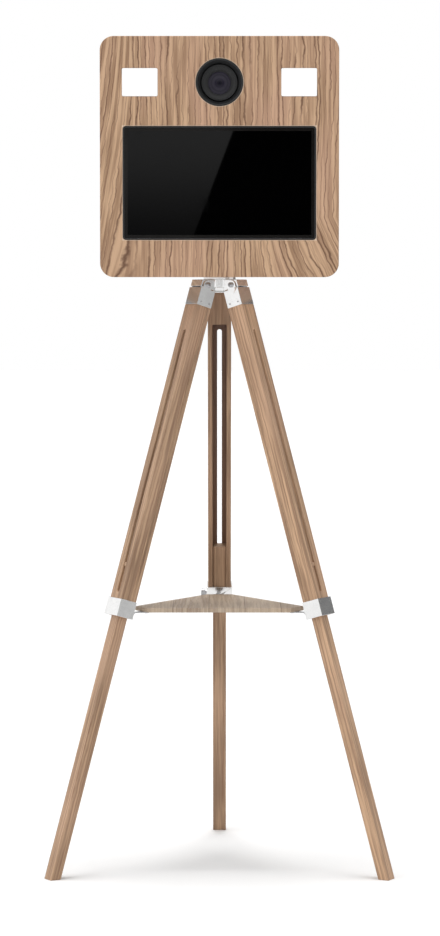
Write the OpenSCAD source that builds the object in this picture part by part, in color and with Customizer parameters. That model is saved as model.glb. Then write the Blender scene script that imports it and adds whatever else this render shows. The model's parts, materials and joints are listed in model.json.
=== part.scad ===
// Photo booth: a camera, flash and touch-screen head on a wooden tripod with a triangular shelf.
// Millimetres. +Z up, the floor at z = 0, the screen facing -Y. The origin is on the floor at the
// middle of the space that the feet take up; stand() puts the tripod's axis where that asks.

/* [Booth head] */
// Width of the front panel
head_w = 448; // [430:1:500]
// Height of the front panel
head_h = 450; // [440:1:500]
// Depth of the head from the front panel's face to the shell's rear edge
head_depth = 164; // [155:1:200]
// Corner radius of the front panel
head_corner_r = 26; // [18:1:36]
// Thickness of the front panel
panel_t = 12; // [9:0.5:15]
// Wall of the side shell
shell_t = 12; // [9:0.5:15]
// How far the side shell stands in from the panel's edge
shell_inset = 1.5; // [0.5:0.5:6]
// Thickness of the rear door and of the connection plate
door_t = 4; // [3:0.5:5]
// Height of the fixed connection plate under the rear door
io_h = 52; // [46:1:70]

/* [Screen] */
// Width of the screen cut-out in the panel
screen_w = 362.6; // [340:0.2:380]
// Height of the screen cut-out
screen_h = 212.8; // [200:0.2:230]
// Distance from the lens hole's lower edge down to the screen cut-out
screen_gap = 37.1; // [30:0.1:50]
// Width of the black border on each side of the lit display area
display_side = 9.3; // [8:0.1:20]
// Height of the black border above and below the lit display area
display_end = 9.4; // [8:0.1:20]

/* [Camera and flash] */
// Distance of the lens's centre below the panel's upper edge
lens_down = 86; // [75:1:100]
// Radius of the lens hole in the panel
lens_hole_r = 44.5; // [42:0.5:48]
// Width of a flash window
flash_w = 67.4; // [50:0.2:74]
// Height of a flash window
flash_h = 53; // [40:0.5:60]
// Distance of each flash window's centre in from the panel's side
flash_in = 74.8; // [68:0.2:80]

/* [Tripod] */
// Height of the leg pivots above the floor
pivot_z = 1107; // [1000:1:1200]
// Distance of the leg pivots from the tripod's axis
pivot_r = 35; // [33:0.5:42]
// Slope of each leg from the vertical, in degrees
leg_tilt = 16.4; // [14:0.1:19]
// Width of an upper leg across its channel
leg_w = 45; // [42:0.5:50]
// Depth of an upper leg
leg_d = 32; // [30:0.5:38]
// Distance from the pivot down to the collar's top edge
collar_s = 616; // [600:1:680]
// Length of a collar along the leg
collar_len = 33; // [28:1:45]
// Width of a lower leg
slider_w = 26; // [20:0.5:28]
// Depth of a lower leg
slider_d = 21; // [16:0.5:22]
// How far a lower leg can be pushed up into its upper leg
retract = 450; // [200:10:460]
// How far a lower leg can be drawn further out
extend = 45; // [10:5:50]

/* [Shelf] */
// Distance of the shelf's top below the upper edge of the collars, measured down the middle
shelf_drop = 16.06; // [12:0.02:20]
// Thickness of the shelf
shelf_t = 8; // [6:0.5:10]
// Distance from the middle to the shelf's cut corners
shelf_corner_r = 170; // [150:1:178]
// Distance from the middle to the point where the uncut sides would meet
shelf_point_r = 214; // [205:1:225]

/* [Clearances] */
// Gap between pieces that slide or swing past each other
slide_gap = 0.5; // [0.3:0.1:0.8]
// Gap round a piece that is fitted into a cut-out
seat_gap = 0.3; // [0.2:0.1:0.5]
// Radial gap of a shaft in its bore
run_gap = 0.05; // [0.02:0.01:0.08]

/* [Hidden] */
$fn = 64;
far = 2000;

// Head, front to back
front_y = -85;
panel_y = front_y + panel_t;
shell_y = front_y + head_depth;
// Hub and head, bottom to top
hub_drop = 4;
hub_t = 15;
hub_z = pivot_z - hub_drop;
hub_top = hub_z + hub_t;
head_gap = 4;
panel_z = hub_top + head_gap;
panel_top = panel_z + head_h;
head_mid_z = panel_z + head_h / 2;
shell_w = head_w - 2 * shell_inset;
shell_h = head_h - 2 * shell_inset;
shell_z = panel_z + shell_inset;
bay_w = shell_w - 2 * shell_t;
bay_h = shell_h - 2 * shell_t;
bay_z = shell_z + shell_t;
bay_r = max(head_corner_r - shell_inset - shell_t, 4);
lens_z = panel_top - lens_down;
screen_z = lens_z - lens_hole_r - screen_gap - screen_h / 2;
display_w = screen_w - 2 * display_side;
flash_x = head_w / 2 - flash_in;
display_h = screen_h - 2 * display_end;

// Tripod
legs = [["left", 210, -1], ["right", 330, 1], ["rear", 90, 1]];
web_t = 6;
channel_w = slider_w + 2 * slide_gap;
leg_out = leg_d / 2;
leg_in = -leg_d / 2;
web_in = leg_out - web_t;
slider_out = web_in - slide_gap;
slider_in = slider_out - slider_d;
slider_x = (slider_out + slider_in) / 2;
sleeve_top = 8;
sleeve_end = 41.5;
sleeve_wall = 1.6;
cap_t = 2;
collar_wall = 3;
collar_end = collar_s + collar_len;
overlap = 84;
slider_top = collar_s - overlap;
guide_drop = 18;
guide_r = 4;
guide_s = slider_top + guide_drop;
slot_r = guide_r + slide_gap;
channel_spare = 8;
channel_top = slider_top - retract - channel_spare;
slot_top = guide_s - retract - slot_r;
slot_end = guide_s + extend + slot_r;
ear_t = 2.5;
ear_r = 9;
lug_w = leg_w - 2 * ear_t - 2 * seat_gap;
hinge_x = 3;
hinge_r = 3;
bolt_head_r = 5.2;
bolt_head_t = 2.2;
hub_r = 30;
mount_bolt_r = 5;

// Where the feet reach on the floor, which sets the tripod's axis behind or before the origin
foot_r = pivot_r + pivot_z * tan(leg_tilt) + slider_out / cos(leg_tilt);
axis_y = -(foot_r - foot_r * sin(30) - slider_w / 2 * cos(30)) / 2;

// Shelf corners
shelf_z = pivot_z - collar_s * cos(leg_tilt) - shelf_drop;
shelf_low = shelf_z - shelf_t;
tongue_t = 2.2;
tongue_w = 16;
tongue_in = 22;
eye_r = 4.5;
eye_hole = 1.8;
eye_w = 8;
eye_z = shelf_low - tongue_t / 2;
leg_r_at_eye = pivot_r + (pivot_z - eye_z) * tan(leg_tilt);
collar_face_r = leg_r_at_eye + leg_in / cos(leg_tilt);
eye_c = collar_face_r - eye_r - 3;
lug_t = 2.6;
clamp_s = collar_s + collar_len / 2;
clamp_r = 3;
knob_r = 7;
knob_len = 11;

// Head fittings
diffuser_lip = 4;
lip_t = 2;
lamp_box_d = 52;
lamp_box_wall = 2.5;
bezel_t = 3;
glass_drop = 0.8;
glass_t = 4;
lcd_t = 14;
board_in = 60;
board_t = 6;
strap_t = 2.5;
strap_w = 24;
port_t = 3;
barrel_r = 34;
barrel_front = front_y + 12;
barrel_back = front_y + 72;
zoom_r = 37;
zoom_y = front_y + 40;
zoom_len = 18;
camera_w = 130;
camera_h = 104;
camera_d = 58;
camera_drop = 54;
camera_z = lens_z - camera_drop;
bracket_t = 3;
bracket_w = 110;
bracket_lip = 22;
door_z = bay_z + io_h;
door_gap = 1.2;
door_w = bay_w - 2 * door_gap;
door_h = bay_h - io_h - 2 * door_gap;
door_y = shell_y + 0.3 - door_t;
frame_w = 14;
frame_t = 9;
frame_y = door_y - seat_gap - frame_t;
knuckle_r = 3;
knuckle_len = 14;
hinge_pin_r = 1.5;
hinge_pin_x = -door_w / 2 - 0.4;
hinge_pin_y = shell_y + 0.3 + knuckle_r + 1;
hinge_leaf_t = 1.8;
hinge_up = [70, 270];
latch_x = door_w / 2 - 28;
latch_z = door_z + door_h / 2;
latch_r = 4;
latch_knob_r = 11;
latch_knob_t = 9;
cam_len = 30;
cam_t = 4;
fan_size = 80;
fan_d = 25;
fan_wall = 2;
fan_r = 38;
fan_hub_r = 18;
fan_z = door_z + 90;
fan_shaft_r = 2;
base_r = 31;
pc_size = [132, 112, 44];
pc_in = 100.5;
pc_x = pc_in - bay_w / 2;
supply_size = [150, 92, 40];
supply_x = 95;
inner_y = panel_y + 26;
inlet_in = 90.5;
inlet_x = bay_w / 2 - inlet_in;
switch_in = 45.5;
switch_x = bay_w / 2 - switch_in;
io_z = bay_z + io_h / 2;
rocker_len = 20;
rocker_w = 13;
rocker_r = 14;
rocker_axle = 1.5;
rocker_room = 1.8;
rocker_y = door_y + door_t - rocker_r + 5;
shutter_x = -44;
shutter_r = 6;
screw_r = 2;

// Shapes used by many pieces

// A rectangle with round corners, its centre at the origin
module round_rect(w, h, r) {
    square([w - 2 * r, h], center = true);
    square([w, h - 2 * r], center = true);
    for (x = [-1, 1], y = [-1, 1])
        translate([x * (w / 2 - r), y * (h / 2 - r)]) circle(r);
}

// An upright slab facing -Y, from y0 to y1, centred on x and z
module slab(w, h, r, y0, y1, x = 0, z = 0) {
    translate([x, y1, z]) rotate([90, 0, 0]) linear_extrude(y1 - y0) round_rect(w, h, r);
}

// A rod along Y
module rod(r, y0, y1, x = 0, z = 0) {
    translate([x, y1, z]) rotate([90, 0, 0]) cylinder(r = r, h = y1 - y0);
}

// A box given by its lowest and highest corners
module block(low, high) {
    translate(low) cube(high - low);
}

// Places children in a leg's own frame: x outwards, y across, z up along the leg from its pivot
module on_leg(angle) {
    rotate([0, 0, angle]) translate([pivot_r, 0, pivot_z]) rotate([0, -leg_tilt, 0]) children();
}

// A bar of the leg's section between two distances below the pivot
module leg_bar(x0, x1, w, s0, s1) {
    block([x0, -w / 2, -s1], [x1, w / 2, -s0]);
}

// Everything under the floor
module below_floor() {
    block([-far, -far, -far], [far, far, 0]);
}

// Puts a piece drawn round the tripod's axis into the model's frame
module stand() {
    translate([0, axis_y, 0]) children();
}

// Head

module front_panel() {
    color("burlywood") difference() {
        slab(head_w, head_h, head_corner_r, front_y, panel_y, 0, head_mid_z);
        slab(screen_w, screen_h, 6, front_y - 1, panel_y + 1, 0, screen_z);
        rod(lens_hole_r, front_y - 1, panel_y + 1, 0, lens_z);
        for (side = [-1, 1])
            slab(flash_w, flash_h, 3, front_y - 1, panel_y + 1, side * flash_x, lens_z);
    }
}

module side_shell() {
    color("burlywood") difference() {
        slab(shell_w, shell_h, head_corner_r - shell_inset, panel_y, shell_y, 0, head_mid_z);
        slab(bay_w, bay_h, bay_r, panel_y - 1, shell_y + 1, 0, head_mid_z);
        translate([0, 0, shell_z - 1]) cylinder(r = mount_bolt_r + run_gap, h = shell_t + 2);
    }
}

module rear_frame() {
    color("dimgray") difference() {
        slab(bay_w, bay_h, bay_r, frame_y, frame_y + frame_t, 0, head_mid_z);
        slab(bay_w - 2 * frame_w, bay_h - io_h - frame_w - 8, 6, frame_y - 1, frame_y + frame_t + 1,
            0, door_z + (bay_h - io_h - frame_w + 8) / 2);
        slab(bay_w - 2 * frame_w, io_h - 18, 6, frame_y - 1, frame_y + frame_t + 1, 0, io_z - 2);
    }
}

module rear_door() {
    color("dimgray") difference() {
        intersection() {
            slab(bay_w - 2 * door_gap, bay_h - 2 * door_gap, bay_r - door_gap, door_y, door_y + door_t,
                0, head_mid_z);
            block([-far, door_y - 1, door_z + door_gap], [far, door_y + door_t + 1, far]);
        }
        rod(latch_r + run_gap, door_y - 1, door_y + door_t + 1, latch_x, latch_z);
        for (row = [-4:4])
            slab(2 * sqrt(fan_r * fan_r - pow(row * 8, 2)) - 4, 3.6, 1.7, door_y - 1, door_y + door_t + 1,
                0, fan_z + row * 8);
        for (row = [0:5], side = [-1, 1])
            slab(56, 3.6, 1.7, door_y - 1, door_y + door_t + 1, side * 90, panel_top - 90 + row * 8);
    }
}

// One barrel piece of a hinge
module knuckle(z0, z1) {
    translate([hinge_pin_x, hinge_pin_y, z0]) cylinder(r = knuckle_r, h = z1 - z0);
}

module door_hinge_shell() {
    color("silver") difference() {
        for (up = hinge_up, end = [-1, 1]) {
            z = door_z + up + end * (knuckle_len + seat_gap);
            knuckle(z - knuckle_len / 2, z + knuckle_len / 2);
            block([-shell_w / 2 + 4, shell_y, z - knuckle_len / 2],
                [hinge_pin_x, shell_y + 0.3 + hinge_leaf_t, z + knuckle_len / 2]);
        }
        translate([hinge_pin_x, hinge_pin_y, 0]) cylinder(r = hinge_pin_r + run_gap, h = far);
    }
}

module door_hinge_door() {
    color("silver") difference() {
        for (up = hinge_up) {
            z = door_z + up;
            knuckle(z - knuckle_len / 2, z + knuckle_len / 2);
            block([hinge_pin_x, door_y + door_t, z - knuckle_len / 2],
                [hinge_pin_x + 22, door_y + door_t + hinge_leaf_t, z + knuckle_len / 2]);
        }
        translate([hinge_pin_x, hinge_pin_y, 0]) cylinder(r = hinge_pin_r + run_gap, h = far);
    }
}

module door_hinge_pins() {
    reach = 1.5 * knuckle_len + seat_gap;
    color("silver") for (up = hinge_up)
        translate([hinge_pin_x, hinge_pin_y, door_z + up - reach]) {
            cylinder(r = hinge_pin_r, h = 2 * reach);
            translate([0, 0, 2 * reach]) cylinder(r = knuckle_r, h = 1.5);
        }
}

module door_latch() {
    out = door_y + door_t;
    cam_y = frame_y - seat_gap - cam_t;
    color("silver") {
        rod(latch_r, cam_y, out + 1, latch_x, latch_z);
        rod(latch_knob_r, out + seat_gap, out + 2, latch_x, latch_z);
        slab(5, 2 * latch_knob_r - 4, 2, out + 1, out + latch_knob_t, latch_x, latch_z);
        slab(12, cam_len + 6, 5, cam_y, cam_y + cam_t, latch_x, latch_z + cam_len / 2 - 6);
    }
}

module connection_plate() {
    color("dimgray") difference() {
        intersection() {
            slab(bay_w - 2 * seat_gap, bay_h - 2 * seat_gap, bay_r - seat_gap, frame_y + frame_t,
                door_y + door_t, 0, head_mid_z);
            block([-far, 0, -far], [far, far, door_z - door_gap]);
        }
        slab(28, 20, 3, 0, far, inlet_x, io_z);
        slab(rocker_len + 2 * rocker_room, rocker_w + 2, 1, 0, far, switch_x, io_z);
        for (x = [-40, -10])
            slab(13, 14, 1, 0, far, pc_x + x, io_z);
        for (x = [15, 40])
            slab(14, 7, 1, 0, far, pc_x + x, io_z);
    }
}

module screen_bezel() {
    color("black") difference() {
        slab(screen_w - 2 * seat_gap, screen_h - 2 * seat_gap, 5.7, front_y + 0.3, panel_y, 0, screen_z);
        slab(screen_w - 2 * bezel_t, screen_h - 2 * bezel_t, 3, front_y - 1, panel_y + 1, 0, screen_z);
    }
}

module touch_glass() {
    y = front_y + glass_drop;
    color("black") slab(screen_w - 2 * bezel_t - 2 * seat_gap, screen_h - 2 * bezel_t - 2 * seat_gap, 2.7,
        y, y + glass_t, 0, screen_z);
}

module display_panel() {
    y = front_y + glass_drop + glass_t;
    color("dimgray") {
        slab(display_w, display_h, 1, y, panel_y + lcd_t, 0, screen_z);
        slab(display_w - 2 * board_in, display_h - 4 / 3 * board_in, 3, panel_y + lcd_t,
            panel_y + lcd_t + board_t, 0, screen_z);
    }
}

module display_straps() {
    color("silver") for (side = [-1, 1]) {
        x = side * (display_w / 2 - 30);
        slab(strap_w, display_h + 1, 1, panel_y + lcd_t, panel_y + lcd_t + strap_t, x, screen_z);
        for (end = [-1, 1]) {
            z = screen_z + end * (display_h / 2 + strap_t / 2 + seat_gap);
            slab(strap_w, strap_t, 0.5, panel_y, panel_y + lcd_t + strap_t, x, z);
            foot_z = z + end * 10;
            slab(strap_w, 20 + strap_t, 2, panel_y, panel_y + strap_t, x, foot_z);
        }
    }
}

module lens_port() {
    color("black") difference() {
        union() {
            rod(lens_hole_r - seat_gap, front_y - 0.6, panel_y + 1, 0, lens_z);
            rod(lens_hole_r + 6, panel_y, panel_y + 3, 0, lens_z);
        }
        translate([0, front_y - 0.7, lens_z]) rotate([-90, 0, 0])
            cylinder(r1 = lens_hole_r - port_t, r2 = barrel_r + 1.2, h = panel_t + 4);
    }
}

module lens_barrel() {
    color("black") difference() {
        union() {
            rod(barrel_r, barrel_front, zoom_y - seat_gap, 0, lens_z);
            rod(barrel_r - 3, barrel_front + 1, barrel_back, 0, lens_z);
            rod(barrel_r, zoom_y + zoom_len + seat_gap, barrel_back, 0, lens_z);
        }
        translate([0, barrel_front - 0.1, lens_z]) rotate([-90, 0, 0])
            cylinder(r1 = barrel_r - 3, r2 = barrel_r - 10, h = 14);
        rod(barrel_r - 12, barrel_front, barrel_back + 1, 0, lens_z);
    }
}

module zoom_ring() {
    color("black") difference() {
        union() {
            rod(zoom_r - 1, zoom_y, zoom_y + zoom_len, 0, lens_z);
            for (rib = [0:47])
                translate([0, 0, lens_z]) rotate([0, rib * 7.5, 0])
                    block([-1, zoom_y + 2, zoom_r - 2], [1, zoom_y + zoom_len - 2, zoom_r]);
        }
        rod(barrel_r - 3 + run_gap, zoom_y - 1, zoom_y + zoom_len + 1, 0, lens_z);
    }
}

module front_element() {
    bulge = 60;
    r = barrel_r - 12 - seat_gap / 3;
    sag = bulge - sqrt(bulge * bulge - r * r);
    color("midnightblue") intersection() {
        rod(r, barrel_front + 6, barrel_front + 30, 0, lens_z);
        translate([0, barrel_front + 14 - sag + bulge, lens_z]) sphere(r = bulge, $fn = 96);
    }
}

module camera_body() {
    y = barrel_back;
    color("black") difference() {
        union() {
            slab(camera_w, camera_h - 16, 10, y + 4, y + camera_d, 0, camera_z + (camera_h - 16) / 2);
            slab(48, 30, 8, y + 6, y + camera_d - 8, 0, camera_z + camera_h - 15);
            rod(barrel_r + 1, y, y + 6, 0, lens_z);
            block([-camera_w / 2 + 2, y, camera_z + 6], [-camera_w / 2 + 32, y + 20, camera_z + 70]);
        }
        translate([shutter_x, y + 22, camera_z + camera_h - 22])
            cylinder(r = shutter_r + run_gap, h = 20);
    }
}

module shutter_button() {
    y = barrel_back + 22;
    color("silver") translate([shutter_x, y, camera_z + camera_h - 22 + 2])
        cylinder(r = shutter_r, h = 7.5);
}

module camera_bracket() {
    y1 = barrel_back + camera_d - 6;
    plate_z = camera_z - bracket_t;
    color("silver") difference() {
        union() {
            block([-bracket_w / 2, panel_y, plate_z], [bracket_w / 2, y1, camera_z]);
            block([-bracket_w / 2, panel_y, plate_z - bracket_lip + bracket_t],
                [bracket_w / 2, panel_y + bracket_t, camera_z]);
            for (side = [-1, 1])
                block([side * (bracket_w / 2 - bracket_t / 2) - bracket_t / 2, panel_y, plate_z - 8],
                    [side * (bracket_w / 2 - bracket_t / 2) + bracket_t / 2, y1, camera_z]);
        }
        translate([0, barrel_back + 30, plate_z - 1]) cylinder(r = 3.3, h = bracket_t + 2);
    }
}

module flash_window(side) {
    color("white") {
        slab(flash_w - 2 * seat_gap, flash_h - 2 * seat_gap, 2.7, front_y + 0.2, panel_y + 1,
            side * flash_x, lens_z);
        slab(flash_w + 2 * diffuser_lip, flash_h + 2 * diffuser_lip, 3, panel_y, panel_y + lip_t,
            side * flash_x, lens_z);
    }
}

module flash_head(side) {
    y = panel_y + lip_t;
    w = flash_w + 2 * diffuser_lip;
    h = flash_h + 2 * diffuser_lip;
    color("gainsboro") {
        difference() {
            slab(w, h, 4, y, y + lamp_box_d, side * flash_x, lens_z);
            slab(w - 2 * lamp_box_wall, h - 2 * lamp_box_wall, 3, y - 1, y + lamp_box_d - 12,
                side * flash_x, lens_z);
        }
        translate([side * flash_x - flash_w / 2 + 1, y + 22, lens_z]) rotate([0, 90, 0])
            cylinder(r = 4, h = flash_w - 2);
        for (end = [-1, 1])
            translate([side * flash_x + end * (flash_w / 2 + 0.5), y + 22, lens_z])
                cube([6, 12, 12], center = true);
    }
}

module booth_computer() {
    low = [pc_x - pc_size[0] / 2, inner_y, bay_z];
    color("dimgray") difference() {
        block(low, low + pc_size);
        for (row = [0:7])
            block(low + [-1, 14 + row * 10, 10], low + [6, 18 + row * 10, pc_size[2] - 10]);
    }
}

module power_supply() {
    low = [supply_x - supply_size[0] / 2, inner_y, bay_z];
    color("silver") difference() {
        block(low, low + supply_size);
        for (row = [0:9])
            block(low + [12 + row * 13, 20, supply_size[2] - 3],
                low + [17 + row * 13, 70, supply_size[2] + 1]);
    }
}

module power_inlet() {
    out = door_y + door_t;
    color("black") difference() {
        union() {
            slab(27.4, 19.4, 2.7, frame_y - 14, out + 0.2, inlet_x, io_z);
            slab(48, 24, 3, out, out + 2.2, inlet_x, io_z);
        }
        slab(22, 14, 2, out - 16, out + 3, inlet_x, io_z);
    }
    color("silver") for (pin = [-1, 0, 1])
        block([inlet_x + pin * 6.5 - 1.1, out - 17, io_z + (pin == 0 ? 1 : -3) - 2],
            [inlet_x + pin * 6.5 + 1.1, out - 3, io_z + (pin == 0 ? 1 : -3) + 2]);
}

// A rocker that tips about an axle across its middle
module power_switch() {
    y = rocker_y;
    color("black") {
        intersection() {
            translate([switch_x, y, io_z - rocker_w / 2]) cylinder(r = rocker_r, h = rocker_w);
            block([switch_x - rocker_len / 2, y - 2, io_z - rocker_w],
                [switch_x + rocker_len / 2, far, io_z + rocker_w]);
        }
        translate([switch_x, y, io_z - rocker_w / 2 - 1.6]) cylinder(r = rocker_axle, h = rocker_w + 3.2);
    }
}

// Box behind the connection plate that holds the rocker's axle
module switch_housing() {
    y1 = frame_y + frame_t;
    color("black") difference() {
        slab(rocker_len + 8, rocker_w + 7, 1.5, rocker_y - 12, y1, switch_x, io_z);
        slab(rocker_len + 2 * rocker_room, rocker_w + 0.8, 1, rocker_y - 9, y1 + 1, switch_x, io_z);
        translate([switch_x, rocker_y, io_z - rocker_w])
            cylinder(r = rocker_axle + run_gap, h = 2 * rocker_w);
    }
}

module fan_frame() {
    y0 = door_y - fan_d;
    color("black") difference() {
        union() {
            difference() {
                slab(fan_size, fan_size, 4, y0, door_y, 0, fan_z);
                rod(fan_r + fan_wall / 2, y0 - 1, door_y + 1, 0, fan_z);
            }
            for (arm = [0:3])
                translate([0, 0, fan_z]) rotate([0, 45 + arm * 90, 0])
                    block([-2.5, y0, 0], [2.5, y0 + 3, fan_r + fan_wall]);
            rod(fan_hub_r, y0, y0 + 3, 0, fan_z);
            rod(fan_shaft_r, y0, door_y - 4, 0, fan_z);
        }
        for (x = [-1, 1], z = [-1, 1])
            rod(2.2, y0 - 1, door_y + 1, x * (fan_size / 2 - 4.3), fan_z + z * (fan_size / 2 - 4.3));
    }
}

module fan_rotor() {
    y0 = door_y - fan_d + 3 + slide_gap;
    y1 = door_y - 3;
    color("black") difference() {
        union() {
            rod(fan_hub_r, y0, y1, 0, fan_z);
            for (blade = [0:6])
                translate([0, (y0 + y1) / 2, fan_z]) rotate([0, blade * 360 / 7, 0]) rotate([0, 0, 38])
                    block([-9, -0.8, fan_hub_r - 4], [9, 0.8, fan_r - 1.5]);
        }
        rod(fan_shaft_r + run_gap, y0 - 1, door_y - 3.5, 0, fan_z);
    }
}

module head_flange() {
    color("gainsboro") difference() {
        translate([0, 0, hub_top + 0.2]) cylinder(r = base_r, h = shell_z - hub_top - 0.2);
        translate([0, 0, hub_top]) cylinder(r = mount_bolt_r + run_gap, h = far);
    }
}

module head_bolt() {
    color("silver") {
        translate([0, 0, hub_z + 2]) cylinder(r = mount_bolt_r, h = bay_z - hub_z);
        translate([0, 0, bay_z]) cylinder(r = 2.4 * mount_bolt_r, h = 2);
        translate([0, 0, bay_z + 1]) cylinder(r = 1.8 * mount_bolt_r, h = 8, $fn = 6);
    }
}

// Tripod

module hub() {
    color("gainsboro") difference() {
        union() {
            translate([0, 0, hub_z]) cylinder(r = hub_r, h = hub_t);
            intersection() {
                block([-far, -far, hub_z - 8], [far, far, hub_top]);
                for (leg = legs)
                    on_leg(leg[1]) leg_bar(leg_in, leg_out, lug_w, -30, sleeve_top - cap_t);
            }
        }
        for (leg = legs)
            on_leg(leg[1]) rod(hinge_r + run_gap, -far, far, hinge_x, 0);
        translate([0, 0, hub_z - 20]) cylinder(r = mount_bolt_r + run_gap, h = far);
    }
}

// Metal cap on a leg's outer side and flanks, with two ears that straddle the hub's lug
module leg_sleeve(angle) {
    color("silver") difference() {
        on_leg(angle) difference() {
            union() {
                leg_bar(leg_in, leg_out, leg_w, sleeve_top, sleeve_end);
                for (side = [-1, 1])
                    translate([0, side * (leg_w - ear_t) / 2, 0]) {
                        block([hinge_x - ear_r, -ear_t / 2, -sleeve_top - 1],
                            [hinge_x + ear_r, ear_t / 2, 0]);
                        rod(ear_r, -ear_t / 2, ear_t / 2, hinge_x, 0);
                    }
            }
            leg_bar(leg_in - 1, leg_out - sleeve_wall, leg_w - 2 * sleeve_wall,
                sleeve_top + cap_t, sleeve_end + 1);
            rod(hinge_r + run_gap, -leg_w, leg_w, hinge_x, 0);
        }
        block([-far, -far, hub_top], [far, far, far]);
    }
}

module pivot_bolt(angle) {
    end = leg_w / 2 + 0.05;
    color("silver") on_leg(angle) {
        rod(hinge_r, -end, end, hinge_x, 0);
        rod(bolt_head_r, end, end + bolt_head_t, hinge_x, 0);
        rod(bolt_head_r, -end - bolt_head_t, -end, hinge_x, 0);
    }
}

module upper_leg(angle, side) {
    groove_w = 3;
    groove_d = 1.6;
    groove_x = leg_in + 6.5;
    tenon = sleeve_wall + 0.1;
    color("tan") on_leg(angle) difference() {
        union() {
            leg_bar(leg_in, leg_out - tenon, leg_w - 2 * tenon,
                sleeve_top + cap_t + 0.1, sleeve_end + 1);
            leg_bar(leg_in, leg_out, leg_w, sleeve_end, collar_s);
            leg_bar(leg_in + collar_wall + 0.1, leg_out, leg_w, collar_s - 1, collar_end - 3);
        }
        leg_bar(leg_in - 1, web_in, channel_w, channel_top, collar_end);
        leg_bar(web_in - 1, leg_out + 1, 2 * slot_r, slot_top, slot_end);
        for (s = [slot_top, slot_end])
            translate([web_in - 1, 0, -s]) rotate([0, 90, 0]) cylinder(r = slot_r, h = web_t + 2);
        for (flank = [-1, 1])
            block([groove_x, flank * leg_w / 2 - groove_d, -collar_s + 2],
                [groove_x + groove_w, flank * leg_w / 2 + groove_d, -sleeve_end - 2]);
        rod(clamp_r + 0.3, min(0, side * leg_w), max(0, side * leg_w), slider_x, -clamp_s);
    }
}

// Ring round the leg's lower end, with two lugs for the shelf's corner
module collar(angle, side) {
    bore_r = eye_hole + run_gap;
    color("gainsboro") difference() {
        union() {
            on_leg(angle) difference() {
                leg_bar(leg_in, leg_out + collar_wall, leg_w + 2 * collar_wall, collar_s, collar_end);
                leg_bar(leg_in + collar_wall, leg_out, leg_w, collar_s - 1, collar_end + 1);
                rod(clamp_r + run_gap, min(0, side * leg_w), max(0, side * leg_w), slider_x, -clamp_s);
            }
            rotate([0, 0, angle]) for (lug = [-1, 1]) {
                y0 = lug * (eye_w / 2 + seat_gap + lug_t / 2) - lug_t / 2;
                rod(eye_r, y0, y0 + lug_t, eye_c, eye_z);
                block([eye_c, y0, eye_z - eye_r], [collar_face_r + 1.5, y0 + lug_t, eye_z + eye_r]);
            }
        }
        rotate([0, 0, angle]) rod(bore_r, -2 * eye_w, 2 * eye_w, eye_c, eye_z);
    }
}

// Square bar that slides in the upper leg's channel, cut level with the floor
module lower_leg(angle) {
    long = (pivot_z + leg_d) / cos(leg_tilt) + leg_d;
    color("tan") difference() {
        on_leg(angle) {
            leg_bar(slider_in, slider_out, slider_w, slider_top, long);
            translate([slider_out - 1, 0, -guide_s]) rotate([0, 90, 0])
                cylinder(r = guide_r, h = web_t + slide_gap);
        }
        below_floor();
    }
}

// Thumb screw through the collar's side that holds the lower leg
module clamp_screw(angle, side) {
    tip = slider_w / 2 + 0.2;
    face = leg_w / 2 + collar_wall;
    ribs = 18;
    color("silver") on_leg(angle) translate([slider_x, 0, -clamp_s]) rotate([0, 0, side > 0 ? 0 : 180]) {
        rod(clamp_r, tip, face + 2);
        rod(knob_r - 2, face + 0.4, face + 3);
        rod(knob_r - 0.6, face + 2.5, face + knob_len);
        for (rib = [1:ribs])
            rotate([0, rib * 360 / ribs, 0])
                block([-0.6, face + 3, knob_r - 1.2], [0.6, face + knob_len - 0.6, knob_r]);
    }
}

module shelf() {
    half = (shelf_point_r - shelf_corner_r) * tan(30);
    points = [for (leg = legs, side = [-1, 1])
        [shelf_corner_r * cos(leg[1]) - side * half * sin(leg[1]),
            shelf_corner_r * sin(leg[1]) + side * half * cos(leg[1])]];
    color("tan") difference() {
        translate([0, 0, shelf_low]) linear_extrude(shelf_t) polygon(points);
        for (leg = legs)
            rotate([0, 0, leg[1]]) translate([shelf_corner_r - tongue_in / 2, 0, shelf_low - 1])
                cylinder(r = screw_r + run_gap, h = shelf_t / 2 + 1);
    }
}

// Metal tongue screwed under a shelf corner, ending in an eye
module shelf_tongue(angle) {
    screw_x = shelf_corner_r - tongue_in / 2;
    color("silver") rotate([0, 0, angle]) {
        difference() {
            union() {
                block([shelf_corner_r - tongue_in, -tongue_w / 2, shelf_low - tongue_t],
                    [shelf_corner_r + 4, tongue_w / 2, shelf_low]);
                block([shelf_corner_r, -eye_w / 2, shelf_low - tongue_t], [eye_c, eye_w / 2, shelf_low]);
                rod(eye_r, -eye_w / 2, eye_w / 2, eye_c, eye_z);
            }
            rod(eye_hole + run_gap, -eye_w, eye_w, eye_c, eye_z);
        }
        translate([screw_x, 0, shelf_low - tongue_t - 1.5]) cylinder(r = 2 * screw_r, h = 1.6);
        translate([screw_x, 0, shelf_low - tongue_t - 1])
            cylinder(r = screw_r, h = shelf_t / 2 + tongue_t - 0.5);
    }
}

module shelf_pins() {
    end = eye_w / 2 + seat_gap + lug_t + 0.3;
    color("silver") for (leg = legs) rotate([0, 0, leg[1]]) {
        rod(eye_hole, -end, end, eye_c, eye_z);
        rod(eye_hole + 1.6, end, end + 1.4, eye_c, eye_z);
        rod(eye_hole + 1.6, -end - 1.4, -end, eye_c, eye_z);
    }
}

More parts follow.
